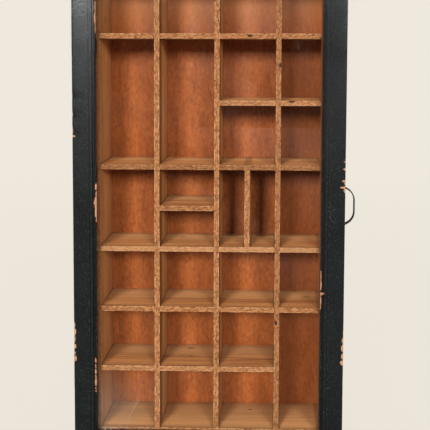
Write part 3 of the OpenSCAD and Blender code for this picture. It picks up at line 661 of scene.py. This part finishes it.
class CaseSettings(bpy.types.PropertyGroup):
    """Everything that can be set on the display case."""

    paint: bpy.props.PointerProperty(type=PaintSettings, name="Paint", description="Black paint")
    wood: bpy.props.PointerProperty(type=WoodSettings, name="Wood", description="Pine of the crate")
    panel: bpy.props.PointerProperty(type=PanelSettings, name="Panel", description="Back panel")
    glass: bpy.props.PointerProperty(type=GlassSettings, name="Glass", description="Pane")
    metal: bpy.props.PointerProperty(type=MetalSettings, name="Metal", description="Metal pieces")
    stage: bpy.props.PointerProperty(type=StageSettings, name="Stage", description="Camera and light")


def pick(piece):
    """Leaves the piece alone selected."""
    bpy.ops.object.select_all(action="DESELECT")
    piece.select_set(True)
    bpy.context.view_layer.objects.active = piece


def copy_of(node):
    """A whole, merged copy of a node's mesh that is free to be worked on."""
    piece = bpy.data.objects.new(node + "_finished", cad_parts[node].data.copy())
    bpy.context.scene.collection.objects.link(piece)
    pick(piece)
    bpy.ops.mesh.customdata_custom_splitnormals_clear()
    bpy.ops.object.mode_set(mode="EDIT")
    bpy.ops.mesh.select_all(action="SELECT")
    bpy.ops.mesh.remove_doubles(threshold=0.002 * MM)
    bpy.ops.mesh.dissolve_limited(angle_limit=math.radians(0.5))
    bpy.ops.object.mode_set(mode="OBJECT")
    return piece


def break_corners(piece, width, segments=2):
    """Bevels the sharp corners of the piece."""
    pick(piece)
    bpy.ops.object.modifier_add(type="BEVEL")
    bevel = piece.modifiers[-1]
    bevel.width = width
    bevel.segments = segments
    bevel.limit_method = "ANGLE"
    bevel.angle_limit = math.radians(CORNER_ABOVE)
    bpy.ops.object.modifier_apply(modifier=bevel.name)


def cut_rings(piece, axis, step):
    """Cuts the faces of the piece with planes at even steps along an axis."""
    pick(piece)
    places = [v.co[axis] for v in piece.data.vertices]
    low, high = min(places), max(places)
    count = max(1, round((high - low) / step))
    normal = [float(i == axis) for i in range(3)]
    bpy.ops.object.mode_set(mode="EDIT")
    for i in range(1, count):
        bpy.ops.mesh.select_all(action="SELECT")
        bpy.ops.mesh.bisect(plane_co=[(low + (high - low) * i / count) * n for n in normal], plane_no=normal)
    bpy.ops.object.mode_set(mode="OBJECT")


def smooth(piece):
    """Shades the piece smooth but for its corners."""
    pick(piece)
    bpy.ops.object.shade_smooth_by_angle(angle=math.radians(SMOOTH_BELOW))


def finish_piece(piece, node, body, material):
    """Gives the piece its material and lets it stand for its node on that body."""
    piece.data.materials.clear()
    piece.data.materials.append(material)
    smooth(piece)
    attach(piece, body)
    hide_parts(node)
    return piece


def coat(node, material):
    """Gives a node of the frame its material."""
    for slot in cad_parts[node].material_slots:
        slot.material = material


class DISPLAY_CASE_OT_slats(bpy.types.Operator):
    """Pine slats of the crate, each with broken corners and a worn front edge."""

    bl_idname = "display_case.slats"
    bl_label = "Crate slats"

    def execute(self, context):
        wood = context.scene.display_case.wood
        for node in FLAT_SLATS + STANDING_SLATS:
            axis = 0 if node in FLAT_SLATS else 2
            slat = copy_of(node)
            break_corners(slat, wood.arris)
            cut_rings(slat, axis, wood.ring)
            self.wear_front(slat, wood.wear)
            along = "x" if node in FLAT_SLATS else "z"
            finish_piece(slat, node, "case", pine("pine_" + node, wood, node, along))
        return {"FINISHED"}

    def wear_front(self, slat, depth):
        """Moves the front corners back by an uneven depth."""
        reach = 1.2 * MM
        for vertex in slat.data.vertices:
            near = 1 - (vertex.co.y / MM - SLAT_FRONT) * MM / reach
            if near > 0:
                chipped = noise.noise(vertex.co / (5 * MM)) * 0.5 + 0.5
                rough = noise.noise(vertex.co / (1.7 * MM)) * 0.5 + 0.5
                vertex.co.y += depth * near * (0.7 * chipped ** 2 + 0.3 * rough)


class DISPLAY_CASE_OT_back_panel(bpy.types.Operator):
    """Reddish plywood panel in the rebate of the back."""

    bl_idname = "display_case.back_panel"
    bl_label = "Back panel"

    def execute(self, context):
        panel = copy_of("back_panel")
        break_corners(panel, 0.3 * MM)
        material = back_ply("back_ply", context.scene.display_case.panel)
        finish_piece(panel, "back_panel", "case", material)
        return {"FINISHED"}


class DISPLAY_CASE_OT_case_boards(bpy.types.Operator):
    """Painted boards of the case with rubbed corners."""

    bl_idname = "display_case.case_boards"
    bl_label = "Case boards"

    def execute(self, context):
        paint = context.scene.display_case.paint
        material = black_paint("case_paint", paint, False)
        for node in CASE_BOARDS:
            board = copy_of(node)
            break_corners(board, paint.arris)
            cut_rings(board, 2 if node.startswith("side") else 0, 9 * MM)
            finish_piece(board, node, "case", material)
        coat("case_pins", material)
        return {"FINISHED"}


class DISPLAY_CASE_OT_door_frame(bpy.types.Operator):
    """Moulded bars of the door with dents and chips in their arrises, and the feathers in its mitres."""

    bl_idname = "display_case.door_frame"
    bl_label = "Door frame"

    def execute(self, context):
        settings = context.scene.display_case
        material = black_paint("door_paint", settings.paint, True)
        for node in FRAME_BARS:
            bar = copy_of(node)
            cut_rings(bar, 2 if "stile" in node else 0, 3 * MM)
            self.cut_beside_arris(bar, node)
            self.dent_arrises(bar, node)
            finish_piece(bar, node, "door", material)
        coat("mitre_feathers", material)
        return {"FINISHED"}

    def cut_beside_arris(self, bar, node):
        """Cuts the flat field along a line beside the arris, so that a dent stays at the arris."""
        pick(bar)
        inside = 2.0
        if "stile" in node:
            place, normal = (math.copysign(HALF_WIDTH - inside, bar.data.vertices[0].co.x), 0, 0), (1, 0, 0)
        else:
            place, normal = (0, 0, DOOR_FOOT + inside if "bottom" in node else DOOR_HEAD - inside), (0, 0, 1)
        bpy.ops.object.mode_set(mode="EDIT")
        bpy.ops.mesh.select_all(action="SELECT")
        bpy.ops.mesh.bisect(plane_co=[part * MM for part in place], plane_no=normal)
        bpy.ops.mesh.select_all(action="SELECT")
        bpy.ops.mesh.bisect(plane_co=(0, (DOOR_FRONT + inside) * MM, 0), plane_no=(0, 1, 0))
        bpy.ops.object.mode_set(mode="OBJECT")

    def dent_arrises(self, bar, node):
        """Pulls the arris in where the paint is chipped, and a little everywhere."""
        chips = CHIPS_RAILS
        if "stile" in node:
            chips = CHIPS_OUTER_LEFT if "left" in node else CHIPS_OUTER_RIGHT
        for vertex in bar.data.vertices:
            x, y, z = (value / MM for value in vertex.co)
            from_edge = min(HALF_WIDTH - abs(x), z - DOOR_FOOT, DOOR_HEAD - z)
            depth = y - DOOR_FRONT
            if from_edge + depth < 1.2:
                along = z if "stile" in node else x
                deep = max([1 - abs(along - at) / (half + 1.5) for at, half, reach in chips] + [0.0])
                pull = (0.08 + 0.5 * deep) * (noise.noise(vertex.co / (3 * MM)) * 0.5 + 0.5) * MM
                vertex.co.y += pull
                if "stile" in node:
                    vertex.co.x -= math.copysign(pull, vertex.co.x)
                else:
                    vertex.co.z += pull if z < CASE_HEIGHT / 2 else -pull


class DISPLAY_CASE_OT_glazing(bpy.types.Operator):
    """Glass pane, the beads that hold it and their pins."""

    bl_idname = "display_case.glazing"
    bl_label = "Glazing"

    def execute(self, context):
        settings = context.scene.display_case
        coat("glass_pane", old_glass("old_glass", settings.glass))
        material = black_paint("bead_paint", settings.paint, False)
        for node in GLAZING_BEADS:
            bead = copy_of(node)
            break_corners(bead, 0.25 * MM, segments=1)
            finish_piece(bead, node, "door", material)
        metal = settings.metal
        coat("glazing_bead_pins", old_metal("bead_pin_steel", metal.steel, metal.steel_dull, 0.35))
        return {"FINISHED"}


class DISPLAY_CASE_OT_hardware(bpy.types.Operator):
    """Hinges, catch, hangers and pins."""

    bl_idname = "display_case.hardware"
    bl_label = "Hinges, catch and hangers"

    def execute(self, context):
        metal = context.scene.display_case.metal
        brass = old_metal("old_brass", metal.brass, metal.brass_dull, 0.3)
        steel = old_metal("old_steel", metal.steel, metal.steel_dull, 0.35)
        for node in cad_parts:
            if node.startswith(("hinge_", "hanger_")):
                coat(node, brass)
        for node in ("catch_magnet", "strike_plate", "strike_screw", "back_panel_pins"):
            coat(node, steel)
        return {"FINISHED"}


class DISPLAY_CASE_OT_pull(bpy.types.Operator):
    """Bow pull bent from a black strip, with its screws."""

    bl_idname = "display_case.pull"
    bl_label = "Pull"

    def execute(self, context):
        metal = context.scene.display_case.metal
        iron = old_metal("black_iron", metal.iron, metal.iron_worn, 0.45, metal=0.25)
        pull = copy_of("door_pull")
        break_corners(pull, 0.25 * MM)
        finish_piece(pull, "door_pull", "door", iron)
        coat("pull_screws", iron)
        return {"FINISHED"}


class DISPLAY_CASE_OT_stage(bpy.types.Operator):
    """Pale floor and surroundings, key lamps, overhead and rear lamps, and the camera."""

    bl_idname = "display_case.stage"
    bl_label = "Stage"

    def execute(self, context):
        stage = context.scene.display_case.stage
        self.add_surroundings(context.scene, stage)
        self.add_floor(stage)
        front = Vector((0.0, SLAT_FRONT * MM, 0.32))
        for name, azimuth, elevation, distance, width, power in (
            ("key_left", -9.0, 10.0, 11.0, 1.4, stage.key * 0.61),
            ("key_right", 11.5, 10.0, 11.0, 1.4, stage.key * 0.39),
            ("overhead", 0.0, 74.0, 2.0, 1.2, stage.overhead),
            ("rear_left", -130.0, 28.0, 3.0, 1.4, stage.rear),
            ("rear_right", 130.0, 28.0, 3.0, 1.4, stage.rear),
        ):
            self.add_lamp(name, front, azimuth, elevation, distance, width, power)
        self.add_camera(context.scene, stage)
        context.scene.view_settings.view_transform = "Standard"
        return {"FINISHED"}

    def add_surroundings(self, scene, stage):
        """Gives the world the pale colour where it is seen or mirrored, and a dim light elsewhere."""
        finish = Finish(bpy.data.worlds.new("studio"))
        camera = finish.node("ShaderNodeLightPath", output="Is Camera Ray")
        through = finish.node("ShaderNodeLightPath", output="Is Transmission Ray")
        mirrored = finish.node("ShaderNodeLightPath", output="Is Glossy Ray")
        seen = finish.least(camera + through, 1.0)
        strength = finish.most(finish.most(seen, mirrored * stage.mirrored), stage.ambient)
        colour = tuple(stage.surroundings)
        pale = finish.node("ShaderNodeBackground", inputs={"Color": colour, "Strength": strength})
        scene.world = finish.show(pale, "ShaderNodeOutputWorld")

    def add_floor(self, stage):
        bpy.ops.object.select_all(action="DESELECT")
        bpy.ops.mesh.primitive_plane_add(size=24.0, location=(0.0, 0.0, 0.0))
        floor = bpy.context.active_object
        floor.name = "floor"
        finish = Finish(bpy.data.materials.new("pale_floor"))
        camera = finish.node("ShaderNodeLightPath", output="Is Camera Ray")
        through = finish.node("ShaderNodeLightPath", output="Is Transmission Ray")
        seen = finish.least(camera + through, 1.0)
        reach = finish.node("ShaderNodeVectorMath", {"operation": "LENGTH"}, {0: finish.place()}, 1)
        far = finish.step(reach, 300.0, 3500.0)
        colour, strength = tuple(stage.surroundings), 0.985 + 0.015 * far
        matt = finish.node("ShaderNodeBsdfDiffuse", inputs={"Color": colour})
        flat = finish.node("ShaderNodeEmission", inputs={"Color": colour, "Strength": strength})
        share = seen * (0.93 + 0.07 * far)
        mixed = finish.node("ShaderNodeMixShader", inputs={0: share, 1: matt, 2: flat})
        floor.data.materials.append(finish.show(mixed))

    def add_lamp(self, name, target, azimuth, elevation, distance, width, power):
        """Soft square lamp at a bearing from the target: azimuth to the right of the front, then elevation."""
        side, up = math.radians(azimuth), math.radians(elevation)
        way = Vector((math.sin(side) * math.cos(up), -math.cos(side) * math.cos(up), math.sin(up)))
        data = bpy.data.lights.new(name, "AREA")
        data.shape = "SQUARE"
        data.size = width
        data.energy = power
        lamp = bpy.data.objects.new(name, data)
        lamp.location = target + way * distance
        lamp.rotation_euler = way.to_track_quat("Z", "Y").to_euler()
        bpy.context.scene.collection.objects.link(lamp)

    def add_camera(self, scene, stage):
        data = bpy.data.cameras.new("camera")
        data.lens = stage.lens
        data.sensor_width = 36.0
        camera = bpy.data.objects.new("camera", data)
        pitch, roll, yaw = (math.radians(angle) for angle in stage.camera_turn)
        turn = Matrix.Rotation(-yaw, 4, "Z") @ Matrix.Rotation(math.pi / 2 + pitch, 4, "X")
        turn = turn @ Matrix.Rotation(roll, 4, "Z")
        camera.matrix_world = Matrix.Translation(Vector(stage.camera_place)) @ turn
        scene.collection.objects.link(camera)
        scene.camera = camera


STEPS = (
    DISPLAY_CASE_OT_slats,
    DISPLAY_CASE_OT_back_panel,
    DISPLAY_CASE_OT_case_boards,
    DISPLAY_CASE_OT_door_frame,
    DISPLAY_CASE_OT_glazing,
    DISPLAY_CASE_OT_hardware,
    DISPLAY_CASE_OT_pull,
    DISPLAY_CASE_OT_stage,
)


class DISPLAY_CASE_PT_sidebar(bpy.types.Panel):
    """Lists the steps that dress the display case."""

    bl_label = "Thimble display case"
    bl_idname = "DISPLAY_CASE_PT_sidebar"
    bl_space_type = "VIEW_3D"
    bl_region_type = "UI"
    bl_category = "Display Case"

    def draw(self, context):
        for step in STEPS:
            self.layout.operator(step.bl_idname)


CLASSES = (
    PaintSettings,
    WoodSettings,
    PanelSettings,
    GlassSettings,
    MetalSettings,
    StageSettings,
    CaseSettings,
    *STEPS,
    DISPLAY_CASE_PT_sidebar,
)


def register():
    for kind in CLASSES:
        bpy.utils.register_class(kind)
    bpy.types.Scene.display_case = bpy.props.PointerProperty(
        type=CaseSettings, name="Display case", description="Settings of the display case"
    )


def unregister():
    del bpy.types.Scene.display_case
    for kind in reversed(CLASSES):
        bpy.utils.unregister_class(kind)


def main():
    register()
    bpy.ops.display_case.slats()
    bpy.ops.display_case.back_panel()
    bpy.ops.display_case.case_boards()
    bpy.ops.display_case.door_frame()
    bpy.ops.display_case.glazing()
    bpy.ops.display_case.hardware()
    bpy.ops.display_case.pull()
    bpy.ops.display_case.stage()


if __name__ == "__main__":
    main()
